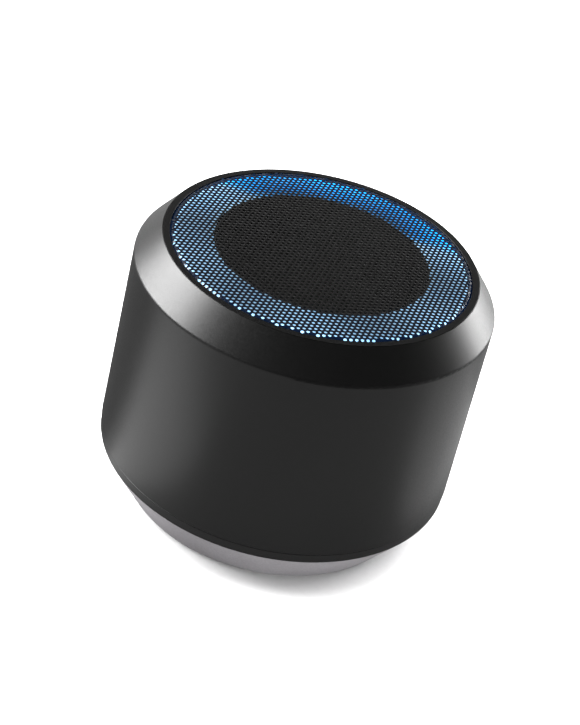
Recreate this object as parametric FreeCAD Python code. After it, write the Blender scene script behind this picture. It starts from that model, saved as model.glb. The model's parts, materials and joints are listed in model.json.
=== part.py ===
import FreeCAD, Part
import math
import os
from FreeCAD import Vector

# Small round Bluetooth speaker with a light ring under its top grille.
# Millimetres.  +Z is up, +Y is the rear, and z = 0 is the surface it stands on.

# Outer form
RING_TOP = 53.0  # the grille stands slightly proud of it
BASE_Z = 0.8  # underside of the grey base, above the rubber pad's face
BASE_FLAT_R = 27.4
BAND_Z = 9.5  # lower edge of the black parting band
BAND_TOP = 10.9
BAND_LIP_Z = 11.25  # outer edge of the band, 0.05 below the shell
BAND_R = 33.3
SHELL_BOTTOM_Z = 11.3
SHELL_LOW_R = 33.4
SHELL_HIGH_R = 32.8
SHOULDER_Z = 47.65
MOUTH_R = 28.6  # opening in the shell's top
SHELL_INNER_R = 31.4
SHELL_SLOPE_Z = 47.15  # the inner wall turns inwards here
LIP_Z = 50.75

# Top ring and grille
RING_OUTER_R = 28.5
RING_INNER_R = 27.25
LEDGE_TOP = 50.5
LEDGE_BOTTOM = 49.8
LEDGE_R = 26.5
RING_SKIRT_R = 27.2
RING_FLANGE_R = 30.4
RING_FLANGE_Z = (46.9, 48.15)
RING_CONE_TOP = 50.6  # the flange's cone meets the ring here, under the shell's slope
GRILLE_TOP = 53.15
GRILLE_SHEET = 0.2
GRILLE_R = 27.15
GRILLE_ROLL = 0.7

# Upper frame and lighting
PLATE_Z = 43.4
PLATE_TOP = 44.9
PLATE_R = 31.1
COLLAR_R = 20.55
COLLAR_INNER_R = 20.0
COLLAR_TOP = 50.3
WELL_R = 18.6
SEAT_R = 17.6
SEAT_Z = 47.6
LED_BOARD_R = (20.8, 26.9)
LED_BOARD_THICK = 1.0
LED_COUNT = 6
LED_START = 30  # degrees from +X of the first lamp
LED_SIZE = (3.5, 2.8, 1.2)
LED_CIRCLE_R = 23.9
LED_LEAD_HOLE = (-10.8, 19.6)
DIFFUSER_FLANGE_R = (20.8, 27.1)
DIFFUSER_FACE_R = (19.4, 26.4)
DIFFUSER_FLANGE = 1.4
DIFFUSER_LIP_Z = 51.0  # underside of the lip that reaches in over the collar
DIFFUSER_TOP = 52.85

# Loudspeaker, a 40 mm full-range driver
FLANGE_R = 19.8
FLANGE_THICK = 0.7
BASKET_R = 17.2
BASKET_SLOPE_Z = 45.0  # the basket's wall turns inwards below this
SHELF_R = 14.0  # the spider is glued to this shelf
CUP_R = 12.9
FLOOR_HOLE_R = 7.0
SPIDER_Z = 41.6
SURROUND_MID_R = 16.0
SURROUND_R = 1.25
SURROUND_THICK = 0.3
SURROUND_EDGES = (14.0, 19.4)
POLE_R = 4.9
PLATE_HOLE_R = 6.0
FORMER_R = (5.2, 5.4)
COIL_R = 5.7
YOKE_Z = 29.8
YOKE_THICK = 1.5
MAGNET_THICK = 5.0
TOP_PLATE_THICK = 1.6
CONE_NECK_Z = 42.6
CONE_RIM_R = 14.7
CONE_THICK = 0.45
CONE_SLOPE = 0.564
CAP_R = 6.6
CAP_RISE = 2.2
CAP_THICK = 0.3

# Fasteners
SCREW_HEAD_R = 1.9
SCREW_HEAD_H = 1.4
SCREW_SHANK_R = 0.93
PILOT_R = 0.95
CLEAR_R = 1.15
FRAME_SCREW_R = 27.0
FRAME_SCREW_ANGLES = (50, 130, 230, 310)
SHELL_SCREW_R = 28.2
SHELL_SCREW_ANGLES = (-30, 90, 210)
BASE_SCREW_R = 23.6
BASE_SCREW_ANGLES = (-90, 30, 150)
POST_R = 2.8

# Base, battery and foot
BASE_FLOOR_TOP = 2.4
BASE_INNER_R = (26.55, 31.45)
PAD_R = 25.5
PAD_THICK = 1.5
BATTERY = (30.0, 34.0, 5.2)
FOAM_THICK = 0.5
LEAD_HOLE = (4.0, -18.4)

# Rear controls: a board stands behind the panel, and its front faces the rear
BOARD_Y = (22.4, 24.0)
BOARD_Z = (12.0, 40.5)
BOARD_HALF = 14.6
PANEL_R = 32.85
PANEL_INNER_R = 29.9
WINDOW = (14.5, 17.3, 38.7, 4.5)  # half width, low z, high z, corner radius
PANEL_FLANGE = 1.2
PORT_Z = 22.5
BUTTON_Z = 33.5
BUTTON_X = {"minus": 8.5, "play": 0.0, "plus": -8.5}
BUTTON_R = 3.0
BUTTON_FACE_R = 33.3
BUTTON_BACK_Y = 26.3
TACT_HALF = 2.3
TACT_TOP_Y = 25.5
PLUNGER_R = 1.3
JACK_R = 1.8
JACK_DEPTH = 14.0
JACK_NOSE_R = 2.9
JACK_MOUTH_Y = 32.6
JACK_BACK_Y = 17.0
USB_X = -8.4
USB_FRONT_Y = 30.4
SWITCH_X = 8.2
SWITCH_TRAVEL = 2.0
BOARD_POST = (12.3, 28.0)
MIC = (4.2, 28.0)

FIT = 0.15  # sliding clearance between a moving piece and its guide


def save(name, *solids):
    shape = solids[0] if len(solids) == 1 else Part.makeCompound(list(solids))
    shape.exportStep("parts/" + name + ".step")


def outline(points):
    """Closed wire in the XZ plane; a third number on a point rounds that corner."""
    corners = [Vector(p[0], 0, p[1]) for p in points]
    radii = [p[2] if len(p) > 2 else 0.0 for p in points]
    count = len(corners)
    entry = []
    leave = []
    middle = []
    for i, corner in enumerate(corners):
        back = (corners[i - 1] - corner).normalize()
        ahead = (corners[(i + 1) % count] - corner).normalize()
        if radii[i] == 0.0:
            entry.append(corner)
            leave.append(corner)
            middle.append(None)
            continue
        half = back.getAngle(ahead) / 2
        reach = radii[i] / math.tan(half)
        bisector = (back + ahead).normalize()
        entry.append(corner + back * reach)
        leave.append(corner + ahead * reach)
        middle.append(corner + bisector * (radii[i] / math.sin(half) - radii[i]))
    edges = []
    for i in range(count):
        if middle[i] is not None:
            edges.append(Part.Arc(entry[i], middle[i], leave[i]).toShape())
        following = entry[(i + 1) % count]
        if (following - leave[i]).Length > 1e-6:
            edges.append(Part.LineSegment(leave[i], following).toShape())
    return Part.Wire(edges)


def turned(points, angle=360):
    """Solid of revolution about Z from an (r, z) outline."""
    return Part.Face(outline(points)).revolve(Vector(0, 0, 0), Vector(0, 0, 1), angle)


def ring(inner_r, outer_r, low, high, edge=0.0):
    """Flat ring or tube; edge rounds its two upper edges."""
    return turned([(inner_r, low), (outer_r, low), (outer_r, high, edge), (inner_r, high, edge)])


def rod(x, y, low, high, radius):
    return Part.makeCylinder(radius, high - low, Vector(x, y, low))


def rod_y(x, z, near, far, radius):
    return Part.makeCylinder(radius, far - near, Vector(x, near, z), Vector(0, 1, 0))


def block(x, y, z):
    """Box from (low, high) pairs."""
    return Part.makeBox(x[1] - x[0], y[1] - y[0], z[1] - z[0], Vector(x[0], y[0], z[0]))


def prism_y(centre_x, centre_z, width, height, radius, near, far):
    """Rounded rectangle seen from the rear, running along Y."""
    w = width / 2
    h = height / 2
    frame = [
        (centre_x - w, centre_z - h, radius),
        (centre_x + w, centre_z - h, radius),
        (centre_x + w, centre_z + h, radius),
        (centre_x - w, centre_z + h, radius),
    ]
    face = Part.Face(outline(frame))
    face.translate(Vector(0, near, 0))
    return face.extrude(Vector(0, far - near, 0))


def around(radius, angle):
    a = math.radians(angle)
    return radius * math.cos(a), radius * math.sin(a)


def spots(radius, angles):
    return [around(radius, angle) for angle in angles]


def depth_at(radius, x):
    """Y of a cylinder about Z at the given x."""
    return math.sqrt(radius * radius - x * x)


def screw(x, y, head_z, length):
    """Cross-head screw pointing up, with its head's underside at head_z."""
    head = rod(x, y, head_z - SCREW_HEAD_H, head_z, SCREW_HEAD_R)
    slot = 0.5
    deep = (head_z - SCREW_HEAD_H - 0.1, head_z - SCREW_HEAD_H + 0.7)
    cross = block((x - 1.2, x + 1.2), (y - slot / 2, y + slot / 2), deep)
    cross = cross.fuse(block((x - slot / 2, x + slot / 2), (y - 1.2, y + 1.2), deep))
    shank = rod(x, y, head_z, head_z + length - 1.0, SCREW_SHANK_R)
    tip_z = head_z + length - 1.0
    tip = Part.makeCone(SCREW_SHANK_R, 0.3, 1.0, Vector(x, y, tip_z))
    return head.cut(cross).fuse([shank, tip])


def wire(points, radius):
    """Round lead along straight runs joined by tangent arcs."""
    corners = [Vector(*p) for p in points]
    edges = []
    start = corners[0]
    for i in range(1, len(corners) - 1):
        back = corners[i - 1] - corners[i]
        ahead = corners[i + 1] - corners[i]
        reach = 0.45 * min(back.Length, ahead.Length)
        back.normalize()
        ahead.normalize()
        half = back.getAngle(ahead) / 2
        bend = reach * math.tan(half)
        bisector = (back + ahead).normalize()
        middle = corners[i] + bisector * (bend / math.sin(half) - bend)
        entry = corners[i] + back * reach
        leave = corners[i] + ahead * reach
        edges.append(Part.LineSegment(start, entry).toShape())
        edges.append(Part.Arc(entry, middle, leave).toShape())
        start = leave
        print("lead bend radius %.1f mm" % bend)
    edges.append(Part.LineSegment(start, corners[-1]).toShape())
    path = Part.Wire(edges)
    direction = corners[1] - corners[0]
    disc = Part.Wire(Part.Circle(corners[0], direction, radius).toShape())
    return path.makePipeShell([disc], True, False)


def body_shell():
    shell = turned([
        (SHELL_INNER_R, SHELL_BOTTOM_Z),
        (SHELL_LOW_R, SHELL_BOTTOM_Z, 0.15),
        (SHELL_HIGH_R, SHOULDER_Z, 0.9),
        (MOUTH_R, RING_TOP - 0.02),
        (MOUTH_R, LIP_Z),
        (SHELL_INNER_R, SHELL_SLOPE_Z),
    ])
    boss_top = 15.5
    for x, y in spots(SHELL_SCREW_R, SHELL_SCREW_ANGLES):
        shell = shell.fuse(rod(x, y, SHELL_BOTTOM_Z, boss_top, 3.4))
        shell = shell.cut(rod(x, y, SHELL_BOTTOM_Z - 1, boss_top - 0.6, PILOT_R))
    half, low, high, corner = WINDOW
    opening = prism_y(0, (low + high) / 2, 2 * half, high - low, corner, 20, 40)
    return shell.cut(opening)


def trim_ring():
    return turned([
        (RING_SKIRT_R, PLATE_TOP),
        (RING_OUTER_R, PLATE_TOP),
        (RING_OUTER_R, RING_FLANGE_Z[0]),
        (RING_FLANGE_R, RING_FLANGE_Z[0]),
        (RING_FLANGE_R, RING_FLANGE_Z[1]),
        (RING_OUTER_R, RING_CONE_TOP),
        (RING_OUTER_R, RING_TOP, 0.06),
        (RING_INNER_R, RING_TOP, 0.06),
        (RING_INNER_R, LEDGE_TOP),
        (LEDGE_R, LEDGE_TOP),
        (LEDGE_R, LEDGE_BOTTOM),
        (RING_SKIRT_R, LEDGE_BOTTOM),
    ])


def grille():
    inner = GRILLE_R - GRILLE_SHEET
    under = GRILLE_TOP - GRILLE_SHEET
    return turned([
        (0, under),
        (inner, under, GRILLE_ROLL - GRILLE_SHEET),
        (inner, LEDGE_TOP),
        (GRILLE_R, LEDGE_TOP),
        (GRILLE_R, GRILLE_TOP, GRILLE_ROLL),
        (0, GRILLE_TOP),
    ])


def light_ring():
    """Milky light guide: a flange under the ring's ledge carries the face that lies under the grille."""
    foot = LEDGE_BOTTOM - DIFFUSER_FLANGE
    return turned([
        (DIFFUSER_FLANGE_R[0], foot),
        (DIFFUSER_FLANGE_R[1], foot),
        (DIFFUSER_FLANGE_R[1], LEDGE_BOTTOM),
        (DIFFUSER_FACE_R[1], LEDGE_BOTTOM),
        (DIFFUSER_FACE_R[1], DIFFUSER_TOP, 0.3),
        (DIFFUSER_FACE_R[0], DIFFUSER_TOP, 0.3),
        (DIFFUSER_FACE_R[0], DIFFUSER_LIP_Z),
        (DIFFUSER_FLANGE_R[0], DIFFUSER_LIP_Z),
    ])


def led_board():
    return ring(*LED_BOARD_R, PLATE_TOP, PLATE_TOP + LED_BOARD_THICK)


def leds():
    made = []
    floor = PLATE_TOP + LED_BOARD_THICK
    long, wide, tall = LED_SIZE
    for i in range(LED_COUNT):
        lamp = block((-wide / 2, wide / 2), (-long / 2, long / 2), (floor, floor + tall))
        cup = Part.makeCone(0.8, 1.15, 0.5, Vector(0, 0, floor + tall - 0.5))
        lamp = lamp.cut(cup)
        lamp.translate(Vector(LED_CIRCLE_R, 0, 0))
        lamp.rotate(Vector(0, 0, 0), Vector(0, 0, 1), LED_START + i * 360 / LED_COUNT)
        made.append(lamp)
    return made


def upper_frame():
    rim = PLATE_TOP + 0.8
    rim_r = PLATE_R - 1.6
    under_seat = SEAT_Z - 1.4
    frame = turned([
        (WELL_R, PLATE_Z),
        (PLATE_R, PLATE_Z),
        (PLATE_R, rim),
        (rim_r, rim),
        (rim_r, PLATE_TOP),
        (COLLAR_R, PLATE_TOP),
        (COLLAR_R, COLLAR_TOP),
        (COLLAR_INNER_R, COLLAR_TOP),
        (COLLAR_INNER_R, SEAT_Z),
        (SEAT_R, SEAT_Z),
        (SEAT_R, under_seat),
        (WELL_R, under_seat),
    ])
    for x, y in spots(FRAME_SCREW_R, FRAME_SCREW_ANGLES):
        frame = frame.fuse(rod(x, y, BAND_TOP, PLATE_Z + 0.5, POST_R))
        frame = frame.cut(rod(x, y, BAND_TOP - 1, BAND_TOP + 10, PILOT_R))
    lead_x, lead_y = LED_LEAD_HOLE
    return frame.cut(rod(lead_x, lead_y, PLATE_Z - 1, PLATE_TOP + 0.4, 1.25))


def driver_basket():
    top = SEAT_Z + FLANGE_THICK
    t = FLANGE_THICK
    floor = YOKE_Z + YOKE_THICK + MAGNET_THICK + TOP_PLATE_THICK
    basket = turned([
        (FLANGE_R, top),
        (FLANGE_R, SEAT_Z),
        (BASKET_R, SEAT_Z, 0.3),
        (BASKET_R, BASKET_SLOPE_Z),
        (SHELF_R, SPIDER_Z - t),
        (CUP_R, SPIDER_Z - t),
        (CUP_R, floor),
        (FLOOR_HOLE_R, floor),
        (FLOOR_HOLE_R, floor + t),
        (CUP_R - t, floor + t),
        (CUP_R - t, SPIDER_Z),
        (SHELF_R - 0.3, SPIDER_Z),
        (BASKET_R - t, BASKET_SLOPE_Z + 0.3),
        (BASKET_R - t, top),
    ])
    window = turned([(11, 42.3), (19, 42.3), (19, 44.7), (11, 44.7)], 36)
    windows = []
    for i in range(6):
        copy = window.copy()
        copy.rotate(Vector(0, 0, 0), Vector(0, 0, 1), i * 60 + 12)
        windows.append(copy)
    return basket.cut(windows)


def driver_gasket():
    low = SEAT_Z + FLANGE_THICK + 0.3
    return ring(17.5, FLANGE_R - 0.1, low, low + 1.0, 0.2)


def surround():
    """Half-roll edge between the cone and the basket's flange."""
    base = SEAT_Z + FLANGE_THICK
    t = SURROUND_THICK
    mid = SURROUND_MID_R
    outer = SURROUND_R
    inner = outer - t
    start, end = SURROUND_EDGES
    reach = math.sqrt(outer * outer - t * t)
    edges = [
        Part.LineSegment(Vector(start, 0, base), Vector(mid - inner, 0, base)),
        Part.Arc(
            Vector(mid - inner, 0, base), Vector(mid, 0, base + inner), Vector(mid + inner, 0, base)
        ),
        Part.LineSegment(Vector(mid + inner, 0, base), Vector(end, 0, base)),
        Part.LineSegment(Vector(end, 0, base), Vector(end, 0, base + t)),
        Part.LineSegment(Vector(end, 0, base + t), Vector(mid + reach, 0, base + t)),
        Part.Arc(
            Vector(mid + reach, 0, base + t),
            Vector(mid, 0, base + outer),
            Vector(mid - reach, 0, base + t),
        ),
        Part.LineSegment(Vector(mid - reach, 0, base + t), Vector(start, 0, base + t)),
        Part.LineSegment(Vector(start, 0, base + t), Vector(start, 0, base)),
    ]
    loop = Part.Wire([e.toShape() for e in edges])
    return Part.Face(loop).revolve(Vector(0, 0, 0), Vector(0, 0, 1), 360)


def spider():
    """Corrugated centring disc under the cone."""
    low = SPIDER_Z
    t = 0.35
    rise = 0.5
    crests = [7.4, 9.0, 10.6]
    lower = [(FORMER_R[1], low)]
    for r in crests:
        lower += [(r - 0.6, low), (r, low + rise), (r + 0.6, low)]
    lower.append((13.4, low))
    upper = [(r, z + t) for r, z in reversed(lower)]
    return turned(lower + upper)


def top_plate():
    low = YOKE_Z + YOKE_THICK + MAGNET_THICK
    return ring(PLATE_HOLE_R, 11.0, low, low + TOP_PLATE_THICK)


def magnet():
    low = YOKE_Z + YOKE_THICK
    return ring(7.0, 11.3, low, low + MAGNET_THICK)


def yoke():
    pole_top = YOKE_Z + YOKE_THICK + MAGNET_THICK + TOP_PLATE_THICK
    return turned([
        (0, YOKE_Z),
        (10.8, YOKE_Z, 0.4),
        (10.8, YOKE_Z + YOKE_THICK),
        (POLE_R, YOKE_Z + YOKE_THICK),
        (POLE_R, pole_top, 0.3),
        (0, pole_top),
    ])


def speaker_terminals():
    strip = block((-4.0, 4.0), (13.0, 14.2), (38.4, 40.8))
    for x in (-2.5, 2.5):
        strip = strip.fuse(block((x - 0.9, x + 0.9), (14.2, 15.4), (39.0, 39.5)))
    return strip


def cone():
    rim_z = CONE_NECK_Z + (CONE_RIM_R - FORMER_R[1]) * CONE_SLOPE
    return turned([
        (FORMER_R[1], CONE_NECK_Z),
        (CONE_RIM_R, rim_z),
        (CONE_RIM_R, rim_z + CONE_THICK),
        (FORMER_R[1], CONE_NECK_Z + CONE_THICK),
    ])


def dome_height(r, rim_r, rise):
    """Height above its rim of a spherical cap at radius r."""
    ball = (rim_r * rim_r + rise * rise) / (2 * rise)
    return math.sqrt(ball * ball - r * r) - (ball - rise)


def dust_cap():
    base = CONE_NECK_Z + CONE_THICK + (CAP_R - FORMER_R[1]) * CONE_SLOPE + 0.08
    inner_r = CAP_R - CAP_THICK
    inner_rise = CAP_RISE - CAP_THICK
    outer_mid = Vector(CAP_R / 2, 0, base + dome_height(CAP_R / 2, CAP_R, CAP_RISE))
    inner_mid = Vector(inner_r / 2, 0, base + dome_height(inner_r / 2, inner_r, inner_rise))
    rim = Vector(CAP_R, 0, base)
    inner_rim = Vector(inner_r, 0, base)
    crown = Vector(0, 0, base + CAP_RISE)
    inner_crown = Vector(0, 0, base + inner_rise)
    edges = [
        Part.LineSegment(inner_rim, rim),
        Part.Arc(rim, outer_mid, crown),
        Part.LineSegment(crown, inner_crown),
        Part.Arc(inner_crown, inner_mid, inner_rim),
    ]
    loop = Part.Wire([e.toShape() for e in edges])
    return Part.Face(loop).revolve(Vector(0, 0, 0), Vector(0, 0, 1), 360)


def coil_former():
    return ring(*FORMER_R, 34.6, 43.4)


def voice_coil():
    return ring(FORMER_R[1], COIL_R, 35.0, 39.2)


def tray():
    """Black chassis plate whose rim shows as the parting band."""
    plate = turned([
        (0, BAND_Z),
        (BAND_R, BAND_Z, 0.15),
        (BAND_R, BAND_LIP_Z, 0.12),
        (32.4, BAND_LIP_Z),
        (32.4, SHELL_BOTTOM_Z),
        (31.2, SHELL_BOTTOM_Z),
        (31.2, 14.4),
        (30.0, 14.4),
        (30.0, BAND_TOP),
        (0, BAND_TOP),
    ])
    for x, y in spots(SHELL_SCREW_R, SHELL_SCREW_ANGLES):
        plate = plate.cut(rod(x, y, SHELL_BOTTOM_Z, 20, 3.6))
        plate = plate.cut(rod(x, y, BAND_TOP - 5, 20, CLEAR_R))
    for x, y in spots(FRAME_SCREW_R, FRAME_SCREW_ANGLES):
        plate = plate.cut(rod(x, y, BAND_TOP - 5, 20, CLEAR_R))
    for x, y in spots(BASE_SCREW_R, BASE_SCREW_ANGLES):
        plate = plate.fuse(rod(x, y, BAND_TOP, 15.2, 2.6))
        plate = plate.cut(rod(x, y, BAND_Z - 1, 14.6, PILOT_R))
    near, far = BOARD_Y
    for side in (-1, 1):
        across = sorted((side * 7.5, side * 11.5))
        for y in ((near - 1.3, near - 0.1), (far + 0.1, far + 1.3)):
            plate = plate.fuse(block(across, y, (BAND_TOP, 14.2)))
    return plate.cut(rod(*LEAD_HOLE, BAND_Z - 1, BAND_TOP + 1, 2.2))


def base_cup():
    cup = turned([
        (0, PAD_THICK),
        (PAD_R + 0.15, PAD_THICK),
        (PAD_R + 0.15, BASE_Z),
        (BASE_FLAT_R, BASE_Z, 0.6),
        (BAND_R - 0.05, BAND_Z),
        (BASE_INNER_R[1], BAND_Z),
        (BASE_INNER_R[0], BASE_FLOOR_TOP),
        (0, BASE_FLOOR_TOP),
    ])
    seat = BASE_FLOOR_TOP + 1.6
    for x, y in spots(BASE_SCREW_R, BASE_SCREW_ANGLES):
        cup = cup.fuse(rod(x, y, PAD_THICK, BAND_Z, 2.9))
        cup = cup.cut(rod(x, y, PAD_THICK - 0.5, seat, SCREW_HEAD_R + 0.2))
        cup = cup.cut(rod(x, y, seat, BAND_Z + 1, CLEAR_R))
    return cup


def foot_pad():
    return turned([(0, 0), (PAD_R, 0, 0.35), (PAD_R, PAD_THICK), (0, PAD_THICK)])


def battery_cell():
    wide, long, tall = BATTERY
    low = BASE_FLOOR_TOP + FOAM_THICK
    cell = block((-wide / 2, wide / 2), (-long / 2, long / 2), (low, low + tall))
    edges = [e for e in cell.Edges if abs(e.tangentAt(0).z) < 0.5 and e.Length > long - 1]
    return cell.makeFillet(1.6, edges)


def battery_pad():
    low = BASE_FLOOR_TOP
    return block((-12, 12), (-14, 14), (low, low + FOAM_THICK))


def battery_board():
    end = -BATTERY[1] / 2
    return block((-8, 8), (end - 2.2, end - 0.2), (4.4, 7.0))


def base_screws():
    seat = BASE_FLOOR_TOP + 1.6
    return [screw(x, y, seat, 10.0) for x, y in spots(BASE_SCREW_R, BASE_SCREW_ANGLES)]


def frame_screws():
    return [screw(x, y, BAND_Z, 10.0) for x, y in spots(FRAME_SCREW_R, FRAME_SCREW_ANGLES)]


def shell_screws():
    return [screw(x, y, BAND_Z, 5.0) for x, y in spots(SHELL_SCREW_R, SHELL_SCREW_ANGLES)]


def rear_panel():
    """Curved plastic inlay that frames the buttons and sockets."""
    half, low, high, corner = WINDOW
    mid = (low + high) / 2
    gap = 0.12
    inlay = prism_y(0, mid, 2 * (half - gap), high - low - 2 * gap, corner - gap, 20, 40)
    panel = inlay.common(ring(PANEL_INNER_R, PANEL_R, low - 5, high + 5))
    wide = 2 * (half + PANEL_FLANGE)
    tall = high - low + 2 * PANEL_FLANGE
    rim = prism_y(0, mid, wide, tall, corner + PANEL_FLANGE, 20, 40)
    rim = rim.common(ring(PANEL_INNER_R, SHELL_INNER_R - 0.15, low - 5, high + 5))
    panel = panel.fuse(rim)
    for x in BUTTON_X.values():
        panel = panel.cut(rod_y(x, BUTTON_Z, 20, 40, BUTTON_R + FIT))
    panel = panel.cut(rod_y(0, PORT_Z, 20, 40, JACK_NOSE_R + 0.1))
    panel = panel.cut(prism_y(USB_X, PORT_Z, 8.3, 3.5, 0.8, 20, 40))
    panel = panel.cut(prism_y(USB_X, PORT_Z, 9.6, 6.6, 1.6, USB_FRONT_Y, 40))
    panel = panel.cut(prism_y(SWITCH_X, PORT_Z, 4.8, 2.3, 0.2, 20, 40))
    panel = panel.cut(rod_y(*MIC, 20, 40, 0.5))
    post_x, post_z = BOARD_POST
    core = Part.makeCylinder(PANEL_INNER_R + 0.4, 60)
    for x in (-post_x, post_x):
        post = rod_y(x, post_z, BOARD_Y[1], 32, 1.8).common(core)
        panel = panel.fuse(post)
        panel = panel.cut(rod_y(x, post_z, 20, BOARD_Y[1] + 3.0, 0.75))
    return panel


def main_board():
    board = block((-BOARD_HALF, BOARD_HALF), BOARD_Y, BOARD_Z)
    board = board.cut(block((-3.3, 3.3), (20, 26), (PORT_Z - 3.2, PORT_Z + 3.2)))
    post_x, post_z = BOARD_POST
    for x in (-post_x, post_x):
        board = board.cut(rod_y(x, post_z, 20, 26, 0.95))
    return board


def bluetooth_chip():
    return block((-4.5, 2.5), (BOARD_Y[0] - 0.9, BOARD_Y[0]), (30, 37))


def amplifier_chip():
    return block((5.0, 9.9), (BOARD_Y[0] - 1.5, BOARD_Y[0]), (27.8, 31.7))


def board_capacitors():
    face = BOARD_Y[0]
    places = ((-7.6, 24.0), (-7.6, 29.4), (8.2, 21.5))
    cans = []
    for x, z in places:
        can = rod_y(x, z, face - 5.4, face, 2.5)
        cans.append(can.cut(rod_y(x, z, face - 6, face - 5.2, 1.9)))
    return cans


def board_connectors():
    face = BOARD_Y[0]
    battery = block((-12, -6), (face - 3.0, face), (14.6, 18.2))
    speaker = block((7.6, 12.4), (face - 3.2, face), (34.6, 38.2))
    lights = block((-13.2, -8.2), (face - 4.8, face), (33.6, 38.2))
    return [battery, speaker, lights]


def usb_outline(width, height, chamfer):
    w = width / 2
    h = height / 2
    return outline([
        (USB_X - w, PORT_Z + h, 0.3),
        (USB_X + w, PORT_Z + h, 0.3),
        (USB_X + w, PORT_Z - h + chamfer),
        (USB_X + w - chamfer, PORT_Z - h),
        (USB_X - w + chamfer, PORT_Z - h),
        (USB_X - w, PORT_Z - h + chamfer),
    ])


def usb_socket():
    wall = 0.35
    length = USB_FRONT_Y - BOARD_Y[1]
    case = Part.Face(usb_outline(7.6, 2.9, 0.9))
    case.translate(Vector(0, BOARD_Y[1], 0))
    hollow = Part.Face(usb_outline(7.6 - 2 * wall, 2.9 - 2 * wall, 0.7))
    hollow.translate(Vector(0, BOARD_Y[1] + 0.8, 0))
    return case.extrude(Vector(0, length, 0)).cut(hollow.extrude(Vector(0, length, 0)))


def usb_tongue():
    back = BOARD_Y[1] + 0.8
    return block((USB_X - 1.9, USB_X + 1.9), (back, USB_FRONT_Y - 0.6), (PORT_Z, PORT_Z + 0.6))


def aux_jack():
    case = block((-3.1, 3.1), (JACK_BACK_Y, 28.6), (PORT_Z - 3.0, PORT_Z + 3.0))
    nose = rod_y(0, PORT_Z, 28.6, JACK_MOUTH_Y, JACK_NOSE_R)
    return case.fuse(nose).cut(
        rod_y(0, PORT_Z, JACK_MOUTH_Y - JACK_DEPTH, JACK_MOUTH_Y + 1, JACK_R)
    )


def power_switch():
    front = 27.2
    case = block((SWITCH_X - 3.8, SWITCH_X + 3.8), (BOARD_Y[1], front), (PORT_Z - 1.8, PORT_Z + 1.8))
    case = case.cut(
        block((SWITCH_X - 3.0, SWITCH_X + 3.0), (24.8, 26.7), (PORT_Z - 1.1, PORT_Z + 1.1))
    )
    return case.cut(
        block((SWITCH_X - 2.2, SWITCH_X + 2.2), (26.6, front + 1), (PORT_Z - 0.7, PORT_Z + 0.7))
    )


def switch_slider():
    """At rest the slider is at its off end."""
    off = SWITCH_X - SWITCH_TRAVEL / 2
    foot = block((off - 1.7, off + 1.7), (25.0, 26.5), (PORT_Z - 0.9, PORT_Z + 0.9))
    return foot.fuse(block((off - 0.9, off + 0.9), (26.5, 29.4), (PORT_Z - 0.5, PORT_Z + 0.5)))


def switch_knob():
    off = SWITCH_X - SWITCH_TRAVEL / 2
    knob = block((off - 1.2, off + 1.2), (29.4, 32.0), (PORT_Z - 1.0, PORT_Z + 1.0))
    for x in (off - 0.6, off, off + 0.6):
        groove = block((x - 0.12, x + 0.12), (31.75, 33), (PORT_Z - 2, PORT_Z + 2))
        knob = knob.cut(groove)
    return knob


def tact_switches():
    made = []
    for x in BUTTON_X.values():
        case = block(
            (x - TACT_HALF, x + TACT_HALF),
            (BOARD_Y[1], TACT_TOP_Y),
            (BUTTON_Z - TACT_HALF, BUTTON_Z + TACT_HALF),
        )
        made.append(case.cut(rod_y(x, BUTTON_Z, BOARD_Y[1] + 0.3, 30, PLUNGER_R + 0.1)))
    return made


def button_cap(x):
    core = Part.makeCylinder(BUTTON_FACE_R, 60)
    cap = rod_y(x, BUTTON_Z, BUTTON_BACK_Y, 40, BUTTON_R).common(core)
    front = depth_at(PANEL_INNER_R, abs(x) + 3.7) - FIT
    return cap.fuse(rod_y(x, BUTTON_Z, front - 0.8, front, 3.7))


def plunger(x):
    return rod_y(x, BUTTON_Z, TACT_TOP_Y - 0.7, BUTTON_BACK_Y, PLUNGER_R)


def microphone():
    x, z = MIC
    can = block((x - 1.45, x + 1.45), (BOARD_Y[1], BOARD_Y[1] + 1.1), (z - 1.9, z + 1.9))
    return can.cut(rod_y(x, z, BOARD_Y[1] + 0.6, 30, 0.3))


def board_screws():
    post_x, post_z = BOARD_POST
    made = []
    for x in (-post_x, post_x):
        head = rod_y(x, post_z, BOARD_Y[0] - 1.1, BOARD_Y[0], 1.5)
        made.append(head.fuse(rod_y(x, post_z, BOARD_Y[0], BOARD_Y[1] + 2.6, 0.73)))
    return made


def battery_leads():
    route = [(3.0, -18.2, 7.0), (3.0, -18.2, 15.0), (-7.0, -2.0, 15.0), (-9.0, 10.0, 16.4)]
    route.append((-9.0, 19.4, 16.4))
    return [wire([(x + shift, y, z) for x, y, z in route], 0.5) for shift in (0.0, 1.5)]


def speaker_leads():
    made = []
    for x, end in ((-2.5, 8.9), (2.5, 11.1)):
        route = [(x, 15.9, 38.9), (x, 15.9, 35.6), (end, 16.4, 33.0), (end, 20.4, 31.9)]
        route.append((end, 20.4, 34.6))
        made.append(wire(route, 0.45))
    return made


def led_leads():
    x, y = LED_LEAD_HOLE
    return [rod(x + shift, y, 38.2, PLATE_TOP, 0.35) for shift in (-0.5, 0.5)]


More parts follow.
